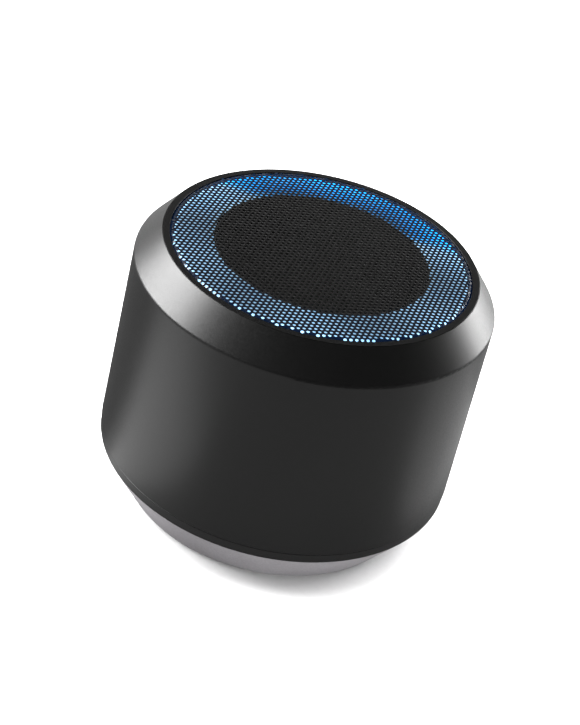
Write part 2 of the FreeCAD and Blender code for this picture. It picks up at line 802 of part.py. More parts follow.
os.makedirs("parts", exist_ok=True)
save("body_shell", body_shell())
save("trim_ring", trim_ring())
save("grille", grille())
save("light_ring", light_ring())
save("led_board", led_board())
save("leds", *leds())
save("upper_frame", upper_frame())
save("driver_basket", driver_basket())
save("driver_gasket", driver_gasket())
save("surround", surround())
save("spider", spider())
save("top_plate", top_plate())
save("magnet", magnet())
save("yoke", yoke())
save("speaker_terminals", speaker_terminals())
save("cone", cone())
save("dust_cap", dust_cap())
save("coil_former", coil_former())
save("voice_coil", voice_coil())
save("tray", tray())
save("base_cup", base_cup())
save("foot_pad", foot_pad())
save("battery_cell", battery_cell())
save("battery_pad", battery_pad())
save("battery_board", battery_board())
save("base_screws", *base_screws())
save("frame_screws", *frame_screws())
save("shell_screws", *shell_screws())
save("rear_panel", rear_panel())
save("main_board", main_board())
save("bluetooth_chip", bluetooth_chip())
save("amplifier_chip", amplifier_chip())
save("board_capacitors", *board_capacitors())
save("board_connectors", *board_connectors())
save("usb_socket", usb_socket())
save("usb_tongue", usb_tongue())
save("aux_jack", aux_jack())
save("power_switch", power_switch())
save("switch_slider", switch_slider())
save("switch_knob", switch_knob())
save("tact_switches", *tact_switches())
for key, place in BUTTON_X.items():
    save("button_" + key, button_cap(place))
    save("plunger_" + key, plunger(place))
save("microphone", microphone())
save("board_screws", *board_screws())
save("battery_leads", *battery_leads())
save("speaker_leads", *speaker_leads())
save("led_leads", *led_leads())
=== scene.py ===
import json
import math

import bmesh
import bpy
from mathutils import Matrix, Vector
from mathutils.geometry import delaunay_2d_cdt
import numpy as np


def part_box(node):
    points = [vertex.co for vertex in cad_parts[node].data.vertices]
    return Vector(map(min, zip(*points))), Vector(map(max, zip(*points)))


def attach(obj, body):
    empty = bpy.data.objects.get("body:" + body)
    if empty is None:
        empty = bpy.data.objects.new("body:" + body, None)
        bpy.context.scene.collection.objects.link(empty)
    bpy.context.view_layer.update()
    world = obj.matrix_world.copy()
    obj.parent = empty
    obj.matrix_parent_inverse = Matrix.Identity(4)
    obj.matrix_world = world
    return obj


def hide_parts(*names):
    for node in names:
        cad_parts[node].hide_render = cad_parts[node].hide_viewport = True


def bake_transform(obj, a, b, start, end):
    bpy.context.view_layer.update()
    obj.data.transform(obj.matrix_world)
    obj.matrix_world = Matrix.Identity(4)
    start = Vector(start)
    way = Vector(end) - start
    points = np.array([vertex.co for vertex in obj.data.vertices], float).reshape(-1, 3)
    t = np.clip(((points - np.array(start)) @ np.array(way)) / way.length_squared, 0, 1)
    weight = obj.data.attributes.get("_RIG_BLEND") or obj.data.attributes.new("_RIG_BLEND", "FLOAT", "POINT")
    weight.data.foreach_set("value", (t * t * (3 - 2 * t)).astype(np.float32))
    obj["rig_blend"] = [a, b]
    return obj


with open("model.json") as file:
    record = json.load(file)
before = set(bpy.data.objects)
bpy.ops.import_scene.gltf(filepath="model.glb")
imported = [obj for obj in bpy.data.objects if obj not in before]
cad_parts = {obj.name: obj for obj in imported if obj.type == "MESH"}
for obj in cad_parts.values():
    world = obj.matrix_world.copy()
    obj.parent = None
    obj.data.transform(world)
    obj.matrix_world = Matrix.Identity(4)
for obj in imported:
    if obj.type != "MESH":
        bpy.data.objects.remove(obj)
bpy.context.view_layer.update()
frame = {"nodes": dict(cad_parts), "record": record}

MM = 0.001
RING_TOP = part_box("trim_ring")[1].z
GRILLE_LOW, GRILLE_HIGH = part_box("grille")
GUIDE_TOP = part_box("light_ring")[1].z
SPIDER_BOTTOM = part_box("spider")[0].z

# Camera
FOCAL_PX = 1710.0
IMAGE_WIDTH_PX = 580.0
SENSOR_MM = 36.0
ELEVATION = math.radians(34.0)
LEAN = math.radians(-13.95)
TOP_IN_CAMERA = Vector((5.78, 19.57, -301.6)) * MM  # centre of the top ring, in the camera's axes

# Studio
FLOOR_SIZE = 1.6
FLOOR_BOUNCE = 0.13  # what the speaker sees of the floor, duller than what the camera sees
AMBIENT = 0.06
STAND_DISTANCE = 0.8
BOOM_DISTANCE = 1.2

# Perforated grille
SHEET = 0.15 * MM
ROLL_RADIUS = 0.7 * MM
ROLL_START_R = GRILLE_HIGH.x - ROLL_RADIUS
PITCH = 1.0 * MM
HOLE_RADIUS = 0.325 * MM
BEVEL_WIDTH = 0.08 * MM
BEVEL_DROP = 0.014 * MM
ROW_ANGLE = math.radians(20.4)
HOLES_ON_ROLL = 0.6 * MM  # how far round the roll hole centres still go
CELL_SIDES = 6
HOLE_SIDES = 2 * CELL_SIDES
RIM_SIDES = 240
RIM_ROWS = 12
RIM_CLEARANCE = 0.72 * PITCH  # from a hole's centre to the rim's own vertices
CRISP_ANGLE = math.radians(8.5)

# Light guide under the grille
GUIDE_INNER_R = 19.4 * MM
GUIDE_OUTER_R = 26.4 * MM
LAMP_COUNT = 6
DEEP_BLUE = (0.0, 0.5, 1.5)
PALE_BLUE = (0.12, 0.76, 1.7)
COOL_WHITE = (0.48, 0.88, 1.3)

# Loudspeaker's spider
SPIDER_RIM_R = 12.2 * MM
SPIDER_NECK_R = 6.4 * MM

# Marks on the buttons
BUTTON_FACE_R = 33.3 * MM
MARK_LIFT = 0.06 * MM
MARK_REACH = 1.1
STROKE_HALF = 0.22


# ---------------------------------------------------------------- stage


def add_camera():
    """Looks down on the grille from the front, turned so that the speaker leans."""
    camera = bpy.data.cameras.new("camera")
    camera.sensor_fit = "HORIZONTAL"
    camera.sensor_width = SENSOR_MM
    camera.lens = FOCAL_PX / IMAGE_WIDTH_PX * SENSOR_MM
    camera.clip_start = 0.01
    camera.clip_end = 50.0
    holder = bpy.data.objects.new("camera", camera)
    bpy.context.scene.collection.objects.link(holder)
    look = Matrix.Rotation(LEAN, 3, "Z") @ Matrix.Rotation(ELEVATION - math.pi / 2, 3, "X")
    lower = Matrix.Translation((0, 0, -RING_TOP))
    place = Matrix.Translation(TOP_IN_CAMERA) @ look.to_4x4() @ lower
    holder.matrix_world = place.inverted()
    bpy.context.scene.camera = holder


def add_light(name, place, facing, size, radiance, glossy=True):
    """Area light of the given radiance, hidden from the camera itself."""
    light = bpy.data.lights.new(name, "AREA")
    light.shape = "RECTANGLE"
    light.size, light.size_y = size
    light.energy = radiance * math.pi * size[0] * size[1]
    holder = bpy.data.objects.new(name, light)
    bpy.context.scene.collection.objects.link(holder)
    holder.location = place
    holder.rotation_euler = (-facing).to_track_quat("Z", "Y").to_euler()
    holder.visible_camera = False
    holder.visible_glossy = glossy


def add_softbox(name, azimuth, elevation, size, radiance, glossy=True):
    """Light on a stand, or overhead on a boom, aimed at the middle of the speaker."""
    a, e = math.radians(azimuth), math.radians(elevation)
    out = Vector((math.cos(e) * math.cos(a), math.cos(e) * math.sin(a), math.sin(e)))
    middle = Vector((0, 0, RING_TOP / 2))
    distance = BOOM_DISTANCE if elevation > 60 else STAND_DISTANCE
    add_light(name, middle + out * distance, -out, size, radiance, glossy)


def add_flag(name, low, high):
    """Black card lying on the floor, seen only in the speaker's sheen."""
    mesh = bpy.data.meshes.new(name)
    height = 0.5 * MM
    corners = [(low[0], low[1]), (high[0], low[1]), (high[0], high[1]), (low[0], high[1])]
    mesh.from_pydata([(x, y, height) for x, y in corners], [], [(0, 1, 2, 3)])
    flag = bpy.data.objects.new(name, mesh)
    bpy.context.scene.collection.objects.link(flag)
    card = grained(name, grey(0.02), grey(0.03), (0.9, 0.95), 2 * MM, 0.01 * MM)
    flag.data.materials.append(card)
    flag.visible_camera = False
    flag.visible_shadow = False


def add_studio():
    """Pale floor and soft light; all round it is white to the camera and dim to the speaker."""
    bpy.ops.mesh.primitive_plane_add(size=FLOOR_SIZE)
    floor = bpy.context.object
    floor.name = "floor"
    floor.data.materials.append(paper_floor())
    up = Vector((0, 0, 1))
    add_softbox("overhead", 90, 80, (1.6, 1.6), 7.0, glossy=False)
    add_softbox("left_box", 169, 28, (0.66, 0.5), 20.0)
    add_softbox("right_box", 45, 8, (0.43, 0.4), 13.0)
    add_softbox("left_fill", 235, 8, (0.5, 0.5), 3.0, glossy=False)
    add_softbox("right_fill", 325, 8, (0.5, 0.5), 8.0, glossy=False)
    add_softbox("rear_fill", 90, 20, (0.7, 0.4), 2.5, glossy=False)
    add_softbox("rear_panel_light", 90, 6, (1.2, 0.24), 1.8)
    add_light("left_card", Vector((-70, -35, 1)) * MM, up, (0.07, 0.05), 1.2)
    add_light("right_card", Vector((75, 10, 1)) * MM, up, (0.06, 0.06), 0.5)
    add_flag("flag", (-160 * MM, -3 * MM), (-35 * MM, 120 * MM))
    world = bpy.data.worlds.new("studio")
    bpy.context.scene.world = world
    world.use_nodes = True
    tree = world.node_tree
    tree.nodes.clear()
    out = tree.nodes.new("ShaderNodeOutputWorld")
    mix = tree.nodes.new("ShaderNodeMixShader")
    path = tree.nodes.new("ShaderNodeLightPath")
    seen = tree.nodes.new("ShaderNodeBackground")
    seen.inputs["Color"].default_value = (1, 1, 1, 1)
    lit = tree.nodes.new("ShaderNodeBackground")
    lit.inputs["Color"].default_value = (1, 1, 1, 1)
    lit.inputs["Strength"].default_value = AMBIENT
    tree.links.new(path.outputs["Is Camera Ray"], mix.inputs["Fac"])
    tree.links.new(lit.outputs[0], mix.inputs[1])
    tree.links.new(seen.outputs[0], mix.inputs[2])
    tree.links.new(mix.outputs[0], out.inputs["Surface"])


# ---------------------------------------------------------------- materials


class Shader:
    """One material's node tree, worked in object coordinates."""

    def __init__(self, name):
        self.material = bpy.data.materials.new(name)
        self.material.use_nodes = True
        self.tree = self.material.node_tree
        self.tree.nodes.clear()
        self.out = self.add("ShaderNodeOutputMaterial")
        self.surface = self.add("ShaderNodeBsdfPrincipled")
        self.link(self.surface.outputs[0], self.out.inputs["Surface"])
        self.place = self.add("ShaderNodeTexCoord").outputs["Object"]

    def add(self, kind, **settings):
        node = self.tree.nodes.new(kind)
        for key, value in settings.items():
            setattr(node, key, value)
        return node

    def link(self, source, target):
        self.tree.links.new(source, target)

    def set(self, **values):
        """Sets the surface's own sockets; an underscore in a name stands for a space."""
        for key, value in values.items():
            self.surface.inputs[key.replace("_", " ")].default_value = value

    def drive(self, socket, source):
        self.link(source, self.surface.inputs[socket])

    def math(self, operation, first, second):
        node = self.add("ShaderNodeMath", operation=operation)
        for socket, value in zip(node.inputs, (first, second)):
            if isinstance(value, (int, float)):
                socket.default_value = value
            else:
                self.link(value, socket)
        return node.outputs[0]

    def axes(self):
        node = self.add("ShaderNodeSeparateXYZ")
        self.link(self.place, node.inputs[0])
        return node.outputs

    def radius(self):
        """Distance from the speaker's axis."""
        x, y, _ = self.axes()
        square = self.math("ADD", self.math("MULTIPLY", x, x), self.math("MULTIPLY", y, y))
        return self.math("SQRT", square, 0.0)

    def noise(self, scale, detail=2.0, rough=0.5):
        node = self.add("ShaderNodeTexNoise")
        node.inputs["Scale"].default_value = scale
        node.inputs["Detail"].default_value = detail
        node.inputs["Roughness"].default_value = rough
        self.link(self.place, node.inputs["Vector"])
        return node.outputs["Fac"]

    def cells(self, scale):
        node = self.add("ShaderNodeTexVoronoi")
        node.inputs["Scale"].default_value = scale
        self.link(self.place, node.inputs["Vector"])
        return node.outputs["Distance"]

    def blend(self, first, second, share):
        """Sum of both, the second one weighted by its share and the first by the rest."""
        rest = round(1 - share, 6)
        kept = self.math("MULTIPLY", first, rest)
        added = self.math("MULTIPLY", second, share)
        return self.math("ADD", kept, added)

    def bands(self, spacing, direction, kind="BANDS"):
        """Sine ridges one spacing apart."""
        node = self.add("ShaderNodeTexWave", wave_type=kind)
        if kind == "BANDS":
            node.bands_direction = direction
        else:
            node.rings_direction = direction
        node.inputs["Scale"].default_value = math.pi / 10 / spacing
        self.link(self.place, node.inputs["Vector"])
        return node.outputs["Fac"]

    def ramp(self, value, stops):
        node = self.add("ShaderNodeValToRGB")
        while len(node.color_ramp.elements) < len(stops):
            node.color_ramp.elements.new(0.5)
        for element, (place, colour) in zip(node.color_ramp.elements, stops):
            element.position = place
            element.color = (*colour, 1)
        self.link(value, node.inputs["Fac"])
        return node.outputs["Color"]

    def span(self, value, start, end, low=0.0, high=1.0, smooth=False):
        """Maps start..end onto low..high."""
        node = self.add("ShaderNodeMapRange")
        if smooth:
            node.interpolation_type = "SMOOTHSTEP"
        limits = {"From Min": start, "From Max": end, "To Min": low, "To Max": high}
        for name, number in limits.items():
            node.inputs[name].default_value = number
        self.link(value, node.inputs["Value"])
        return node.outputs["Result"]

    def bump(self, height, depth):
        node = self.add("ShaderNodeBump")
        node.inputs["Strength"].default_value = 1.0
        node.inputs["Distance"].default_value = depth
        self.link(height, node.inputs["Height"])
        self.drive("Normal", node.outputs["Normal"])


def grey(value):
    return (value, value, value)


def grained(name, dark, light, rough, grain, depth, specular=0.5, metallic=0.0):
    """Paint, plastic or cast metal: slow colour drift with fine grain over it."""
    shader = Shader(name)
    drift = shader.noise(70, 3)
    fine = shader.noise(1 / grain, 2, 0.6)
    mottle = shader.blend(drift, fine, 0.6)
    shader.drive("Base Color", shader.ramp(mottle, [(0.32, dark), (0.68, light)]))
    shader.drive("Roughness", shader.span(fine, 0.3, 0.7, rough[0], rough[1]))
    shader.bump(fine, depth)
    shader.set(Specular_IOR_Level=specular, Metallic=metallic)
    return shader.material


def ribbed(name, dark, light, spacing, direction, depth, rough, metallic=0.0, kind="BANDS"):
    """Fine parallel ridges: coil turns, brushed metal or a moulded tread."""
    shader = Shader(name)
    ridges = shader.bands(spacing, direction, kind)
    mottle = shader.noise(400, 3)
    mixed = shader.blend(ridges, mottle, 0.4)
    shader.drive("Base Color", shader.ramp(mixed, [(0.2, dark), (0.8, light)]))
    shader.drive("Roughness", shader.span(mottle, 0.3, 0.7, rough - 0.06, rough + 0.06))
    shader.bump(ridges, depth)
    shader.set(Metallic=metallic)
    return shader.material


def celled(name, dark, light, size, depth, rough):
    """Closed-cell foam and soft rubber."""
    shader = Shader(name)
    pores = shader.cells(1 / size)
    shader.drive("Base Color", shader.ramp(pores, [(0.1, dark), (0.7, light)]))
    shader.drive("Roughness", shader.span(pores, 0.0, 0.8, rough, rough - 0.15))
    shader.bump(pores, depth)
    shader.set(Specular_IOR_Level=0.3)
    return shader.material


def woven(name, dark, light, thread, depth):
    """Plain-weave cloth stiffened with resin."""
    shader = Shader(name)
    warp = shader.bands(thread, "X")
    weft = shader.bands(thread, "Y")
    weave = shader.math("MAXIMUM", warp, weft)
    shader.drive("Base Color", shader.ramp(weave, [(0.3, dark), (0.9, light)]))
    shader.bump(weave, depth)
    shader.set(Roughness=0.75, Sheen_Weight=0.2)
    return shader.material


def painted_grille():
    """Matt black paint with less sheen above the light guide and on the roll, and a painted blue glow over
    the light guide that stands in for the light's bloom.
    """
    shader = Shader("grille_steel")
    fine = shader.noise(1 / (0.15 * MM), 2, 0.6)
    shader.drive("Base Color", shader.ramp(fine, [(0.32, grey(0.001)), (0.68, grey(0.0025))]))
    shader.drive("Roughness", shader.span(fine, 0.3, 0.7, 0.3, 0.36))
    roll_shoulder = ROLL_START_R + 0.4 * ROLL_RADIUS
    reach = shader.radius()
    duller = shader.span(reach, ROLL_START_R, roll_shoulder, 1.0, 0.4)
    over_light = shader.span(reach, GUIDE_INNER_R, GUIDE_INNER_R + 1 * MM, 0.2, 0.07)
    shader.drive("Specular IOR Level", shader.math("MULTIPLY", duller, over_light))
    # Painted glow: faint blue emission on the paint over the light guide stands in for the light's bloom; it
    # is stronger towards the rear and on the roll.
    rear = shader.span(shader.axes()[1], 8 * MM, 18 * MM, 0.7, 2.0)
    painted_bloom = shader.span(reach, GUIDE_INNER_R, GUIDE_INNER_R + 1.5 * MM, 0.0, 0.02)
    bloom_on_roll = shader.span(reach, ROLL_START_R, roll_shoulder, 1.0, 2.2)
    strength = shader.math("MULTIPLY", painted_bloom, rear)
    shader.set(Emission_Color=(0.0, 0.25, 1.0, 1), Specular_IOR_Level=0.12)
    shader.drive("Emission Strength", shader.math("MULTIPLY", strength, bloom_on_roll))
    return shader.material


def fibrous(name, dark, light, depth):
    """Pressed paper pulp: short fibres over a soft mottle."""
    shader = Shader(name)
    stretch = shader.add("ShaderNodeMapping")
    stretch.inputs["Scale"].default_value = (1.0, 4.0, 1.0)
    shader.link(shader.place, stretch.inputs["Vector"])
    shader.place = stretch.outputs[0]
    fibres = shader.noise(1500, 4, 0.7)
    shader.drive("Base Color", shader.ramp(fibres, [(0.3, dark), (0.7, light)]))
    shader.bump(fibres, depth)
    shader.set(Roughness=0.85, Specular_IOR_Level=0.3)
    return shader.material


def circuit(name, mask, track, pad):
    """Solder mask over darker tracks, with a scatter of round pads."""
    shader = Shader(name)
    bricks = shader.add("ShaderNodeTexBrick")
    bricks.inputs["Scale"].default_value = 160
    bricks.inputs["Mortar Size"].default_value = 0.03
    bricks.inputs["Color1"].default_value = (*mask, 1)
    bricks.inputs["Color2"].default_value = (*mask, 1)
    bricks.inputs["Mortar"].default_value = (*track, 1)
    shader.link(shader.place, bricks.inputs["Vector"])
    dots = shader.cells(420)
    hit = shader.math("LESS_THAN", dots, 0.16)
    mix = shader.add("ShaderNodeMix", data_type="RGBA")
    shader.link(hit, mix.inputs[0])
    shader.link(bricks.outputs["Color"], mix.inputs[6])
    mix.inputs[7].default_value = (*pad, 1)
    shader.drive("Base Color", mix.outputs[2])
    shader.drive("Metallic", hit)
    shader.bump(bricks.outputs["Fac"], 0.03 * MM)
    shader.set(Roughness=0.35)
    return shader.material


def glowing_diffuser():
    """Milky light guide over its lamps: cool white in front and at the sides, blue at the rear."""
    shader = Shader("glowing_diffuser")
    x, y, z = shader.axes()
    reach = shader.radius()
    angle = shader.math("ARCTAN2", y, x)
    lamps = shader.math("COSINE", shader.math("MULTIPLY", angle, float(LAMP_COUNT)), 0.0)
    drift = shader.span(shader.noise(150, 2), 0.3, 0.7, -0.1, 0.1)
    rear = shader.math("ADD", y, shader.math("MULTIPLY", x, 0.09))
    tone = shader.math("ADD", shader.span(rear, 16.2 * MM, 11.5 * MM, smooth=True), drift)
    colour = shader.ramp(tone, [(0.0, DEEP_BLUE), (0.5, PALE_BLUE), (1.0, COOL_WHITE)])
    spread = shader.span(reach, GUIDE_INNER_R, GUIDE_OUTER_R, 0.85, 1.2)
    spots = shader.span(lamps, -1.0, 1.0, 1.25, 0.72)
    edge = shader.span(reach, GUIDE_OUTER_R - 0.5 * MM, GUIDE_OUTER_R, 1.0, 2.2)
    level = shader.math("MULTIPLY", shader.math("MULTIPLY", spread, spots), edge)
    level = shader.math("MULTIPLY", level, shader.span(y, -6 * MM, 8 * MM, 1.0, 1.45))
    rim_glow = shader.span(reach, GUIDE_INNER_R, GUIDE_OUTER_R, -0.55, 0.95)
    rear_glow = shader.math("MULTIPLY", shader.math("SUBTRACT", 1.0, tone), rim_glow)
    level = shader.math("MULTIPLY", level, shader.math("ADD", 1.0, rear_glow))
    inside = shader.span(reach, GUIDE_INNER_R + 0.02 * MM, GUIDE_INNER_R + 0.1 * MM)
    face = shader.span(z, GUIDE_TOP - 0.35 * MM, GUIDE_TOP - 0.15 * MM)
    outside = shader.span(reach, GUIDE_OUTER_R - 0.1 * MM, GUIDE_OUTER_R - 0.02 * MM)
    lit = shader.math("MAXIMUM", shader.math("MULTIPLY", inside, face), outside)
    strength = shader.math("MULTIPLY", shader.math("MULTIPLY", level, lit), 0.72)
    shader.drive("Emission Color", colour)
    shader.drive("Emission Strength", strength)
    shader.drive("Base Color", shader.ramp(lit, [(0.0, grey(0.004)), (1.0, (0.05, 0.07, 0.09))]))
    shader.set(Roughness=0.5)
    return shader.material


def glowing_lamp():
    """Pale moulded lamp with a blue glow of its own."""
    shader = Shader("led_body")
    speckle = shader.noise(3000, 2)
    moulding = [(0.3, (0.75, 0.8, 0.85)), (0.7, (0.85, 0.9, 0.95))]
    shader.drive("Base Color", shader.ramp(speckle, moulding))
    shader.set(Roughness=0.4, Emission_Color=(0.1, 0.55, 1.0, 1), Emission_Strength=2.0)
    return shader.material


def paper_floor():
    """White paper: brighter where the camera sees it than where the speaker mirrors it."""
    shader = Shader("paper_floor")
    fine = shader.noise(900, 2)
    shader.drive("Base Color", shader.ramp(fine, [(0.2, grey(0.86)), (0.8, grey(0.9))]))
    shader.set(Roughness=0.9, Specular_IOR_Level=0.0)
    dull = shader.add("ShaderNodeBsdfDiffuse")
    dull.inputs["Color"].default_value = (*grey(FLOOR_BOUNCE), 1)
    mix = shader.add("ShaderNodeMixShader")
    path = shader.add("ShaderNodeLightPath")
    shader.link(path.outputs["Is Camera Ray"], mix.inputs["Fac"])
    shader.link(dull.outputs[0], mix.inputs[1])
    shader.link(shader.surface.outputs[0], mix.inputs[2])
    shader.link(mix.outputs[0], shader.out.inputs["Surface"])
    return shader.material


def make_materials():
    """One material for each of the record's slots, and two more for the Blender pieces."""
    made = {}

    def add(maker, name, *look, **settings):
        made[name] = maker(name, *look, **settings)

    add(grained, "shell_coat", grey(0.0015), grey(0.0025), (0.33, 0.41), 0.3 * MM, 0.006 * MM)
    add(grained, "ring_plastic", grey(0.001), grey(0.002), (0.3, 0.36), 0.2 * MM, 0.002 * MM, 0.35)
    add(grained, "black_plastic", grey(0.003), grey(0.006), (0.38, 0.46), 0.25 * MM, 0.006 * MM)
    add(grained, "frame_plastic", grey(0.012), grey(0.02), (0.45, 0.55), 0.3 * MM, 0.008 * MM)
    add(grained, "jack_plastic", grey(0.01), grey(0.016), (0.35, 0.45), 0.25 * MM, 0.004 * MM)
    add(grained, "button_plastic", grey(0.014), grey(0.022), (0.4, 0.5), 0.25 * MM, 0.006 * MM)
    add(grained, "chip_epoxy", grey(0.012), grey(0.02), (0.5, 0.62), 0.12 * MM, 0.004 * MM)
    add(grained, "connector_nylon", (0.72, 0.7, 0.6), (0.8, 0.78, 0.68),
        (0.4, 0.5), 0.4 * MM, 0.004 * MM)
    add(circuit, "board_white", grey(0.78), grey(0.62), (0.8, 0.62, 0.3))
    add(circuit, "board_green", (0.015, 0.12, 0.05), (0.01, 0.07, 0.03), (0.8, 0.62, 0.3))
    made["grille_steel"] = painted_grille()
    add(grained, "grille_edge", grey(0.003), grey(0.006), (0.18, 0.24), 0.1 * MM, 0.0003 * MM, 1.0)
    add(grained, "mark_ink", grey(0.55), grey(0.65), (0.5, 0.6), 0.1 * MM, 0.001 * MM)
    add(grained, "basket_steel", grey(0.03), grey(0.045), (0.35, 0.45), 0.3 * MM, 0.004 * MM)
    add(grained, "magnet_coat", grey(0.02), grey(0.035), (0.55, 0.7), 0.4 * MM, 0.02 * MM)
    add(grained, "base_coat", (0.34, 0.325, 0.345), (0.52, 0.5, 0.525),
        (0.4, 0.5), 0.4 * MM, 0.02 * MM)
    add(ribbed, "can_aluminium", grey(0.55), grey(0.7),
        0.2 * MM, "Z", 0.001 * MM, 0.3, metallic=1.0)
    add(grained, "battery_film", grey(0.5), grey(0.62),
        (0.25, 0.4), 1.5 * MM, 0.02 * MM, metallic=1.0)
    add(ribbed, "plate_steel", grey(0.5), grey(0.62),
        0.15 * MM, "Z", 0.001 * MM, 0.3, 1.0, "RINGS")
    add(grained, "switch_metal", grey(0.5), grey(0.62),
        (0.22, 0.34), 0.5 * MM, 0.002 * MM, metallic=1.0)
    add(grained, "connector_steel", grey(0.6), grey(0.7),
        (0.15, 0.25), 0.6 * MM, 0.001 * MM, metallic=1.0)
    add(grained, "screw_steel", grey(0.08), grey(0.14),
        (0.25, 0.38), 0.2 * MM, 0.004 * MM, metallic=1.0)
    add(ribbed, "coil_copper", (0.5, 0.17, 0.06), (0.78, 0.33, 0.14),
        0.12 * MM, "Z", 0.03 * MM, 0.25, 1.0)
    add(ribbed, "former_film", (0.22, 0.09, 0.02), (0.32, 0.15, 0.04),
        0.4 * MM, "Z", 0.002 * MM, 0.3)
    add(ribbed, "foot_rubber", grey(0.012), grey(0.02),
        0.7 * MM, "Z", 0.05 * MM, 0.75, kind="RINGS")
    add(celled, "gasket_foam", grey(0.003), grey(0.008), 0.3 * MM, 0.03 * MM, 0.95)
    add(celled, "foam_tape", grey(0.06), grey(0.1), 0.4 * MM, 0.04 * MM, 0.95)
    add(celled, "surround_rubber", grey(0.002), grey(0.004), 0.2 * MM, 0.004 * MM, 0.8)
    add(celled, "wire_jacket", (0.4, 0.015, 0.012), (0.5, 0.03, 0.02), 0.3 * MM, 0.004 * MM, 0.5)
    add(woven, "spider_cloth", (0.3, 0.16, 0.05), (0.62, 0.42, 0.18), 0.25 * MM, 0.03 * MM)
    add(fibrous, "cone_paper", grey(0.002), grey(0.005), 0.02 * MM)
    add(fibrous, "cap_paper", grey(0.002), grey(0.004), 0.02 * MM)
    made["led_body"] = glowing_lamp()
    made["diffuser"] = glowing_diffuser()
    return made


# ---------------------------------------------------------------- pieces


def new_piece(name, mesh, body, slot, *materials):
    """Object that rides on a body and takes the materials it is given; its slot is not used."""
    piece = bpy.data.objects.new(name, mesh)
    bpy.context.scene.collection.objects.link(piece)
    for material in materials:
        piece.data.materials.append(material)
    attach(piece, body)
    return piece


def add_mark(key, *outlines):
    """Raised print on a button's face; an outline holds x, z offsets from the button's middle."""
    low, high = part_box("button_" + key)
    centre = (low + high) / 2
    mesh = bmesh.new()
    for outline in outlines:
        rings = []
        for lift in (MARK_LIFT, -MARK_LIFT):
            ring = []
            for x, z in outline:
                across = centre.x + x * MM
                face = math.sqrt(BUTTON_FACE_R ** 2 - across ** 2)
                ring.append(mesh.verts.new((across, face + lift, centre.z + z * MM)))
            rings.append(ring)
        front, back = rings
        mesh.faces.new(front)
        mesh.faces.new(reversed(back))
        for k in range(len(front)):
            after = (k + 1) % len(front)
            mesh.faces.new((front[k], back[k], back[after], front[after]))
    bmesh.ops.recalc_face_normals(mesh, faces=mesh.faces)
    data = bpy.data.meshes.new(key + "_mark")
    mesh.to_mesh(data)
    mesh.free()
    new_piece(key + "_mark", data, key + "_key", "button_plastic", MATERIALS["mark_ink"])


def bar(half_width, half_height):
    return [(-half_width, -half_height), (half_width, -half_height),
            (half_width, half_height), (-half_width, half_height)]


def key_of(x, y, depth=0.0):
    """Place in steps of 0.01 micrometre, so that neighbouring cells share their vertices."""
    return (round(x * 1e8), round(y * 1e8), round(depth * 1e8))


class Sheet:
    """Grille metal laid out flat, then bent over the rolled rim as vertices are made."""

    def __init__(self):
        skirt = GRILLE_HIGH.z - ROLL_RADIUS - GRILLE_LOW.z
        self.end = ROLL_START_R + ROLL_RADIUS * math.pi / 2 + skirt
        self.mesh = bmesh.new()
        self.made = {}

    def bend(self, x, y, depth):
        """Depth goes down from the outer face."""
        reach = math.hypot(x, y)
        if reach <= ROLL_START_R:
            return Vector((x, y, GRILLE_HIGH.z - depth))
        along = reach - ROLL_START_R
        quarter = ROLL_RADIUS * math.pi / 2
        turn = min(along, quarter) / ROLL_RADIUS
        radius = ROLL_START_R + (ROLL_RADIUS - depth) * math.sin(turn)
        height = GRILLE_HIGH.z - ROLL_RADIUS + (ROLL_RADIUS - depth) * math.cos(turn)
        height -= max(0.0, along - quarter)
        return Vector((x / reach * radius, y / reach * radius, height))

    def vertex(self, place, depth=0.0):
        key = key_of(place.x, place.y, depth)
        if key not in self.made:
            self.made[key] = self.mesh.verts.new(self.bend(place.x, place.y, depth))
        return self.made[key]

    def face(self, *corners, bevel=False):
        made = self.mesh.faces.new(corners)
        made.material_index = 1 if bevel else 0
        made.smooth = True


def hole_centres(limit):
    """Staggered rows of holes, out to the limit."""
    row = PITCH * math.sqrt(3) / 2
    rows = int(limit / row) + 1
    steps = int(limit / PITCH) + 1
    turn = Matrix.Rotation(ROW_ANGLE, 2)
    for j in range(-rows, rows + 1):
        for i in range(-steps, steps + 1):
            centre = Vector(((i + 0.5 * (j % 2)) * PITCH, j * row))
            if centre.length < limit:
                yield turn @ centre


def add_cell(sheet, centre):
    """Six-sided cell of web round one hole; returns its six corners."""
    corners, rim, wall, foot = [], [], [], []
    for k in range(HOLE_SIDES):
        angle = ROW_ANGLE + math.pi / 6 + k * 2 * math.pi / HOLE_SIDES
        out = Vector((math.cos(angle), math.sin(angle)))
        rim.append(sheet.vertex(centre + out * (HOLE_RADIUS + BEVEL_WIDTH)))
        wall.append(sheet.vertex(centre + out * HOLE_RADIUS, BEVEL_DROP))
        if k % 2 == 0:
            corners.append(centre + out * PITCH / math.sqrt(3))
            foot.append(sheet.vertex(centre + out * HOLE_RADIUS, SHEET))
    for k in range(HOLE_SIDES):
        after = (k + 1) % HOLE_SIDES
        sheet.face(rim[k], rim[after], wall[after], wall[k], bevel=True)
    for k in range(CELL_SIDES):
        after = (k + 1) % CELL_SIDES
        a, b = corners[k], corners[after]
        start, middle, end = 2 * k, 2 * k + 1, 2 * after
        foot_a, foot_b = foot[k], foot[after]
        top_a, top_b = sheet.vertex(a), sheet.vertex(b)
        sheet.face(top_a, rim[middle], rim[start])
        sheet.face(top_a, top_b, rim[middle])
        sheet.face(top_b, rim[end], rim[middle])
        sheet.face(wall[start], wall[middle], foot_a)
        sheet.face(foot_a, wall[middle], foot_b)
        sheet.face(wall[middle], wall[end], foot_b)
        sheet.face(sheet.vertex(b, SHEET), sheet.vertex(a, SHEET), foot_a, foot_b)
    return corners


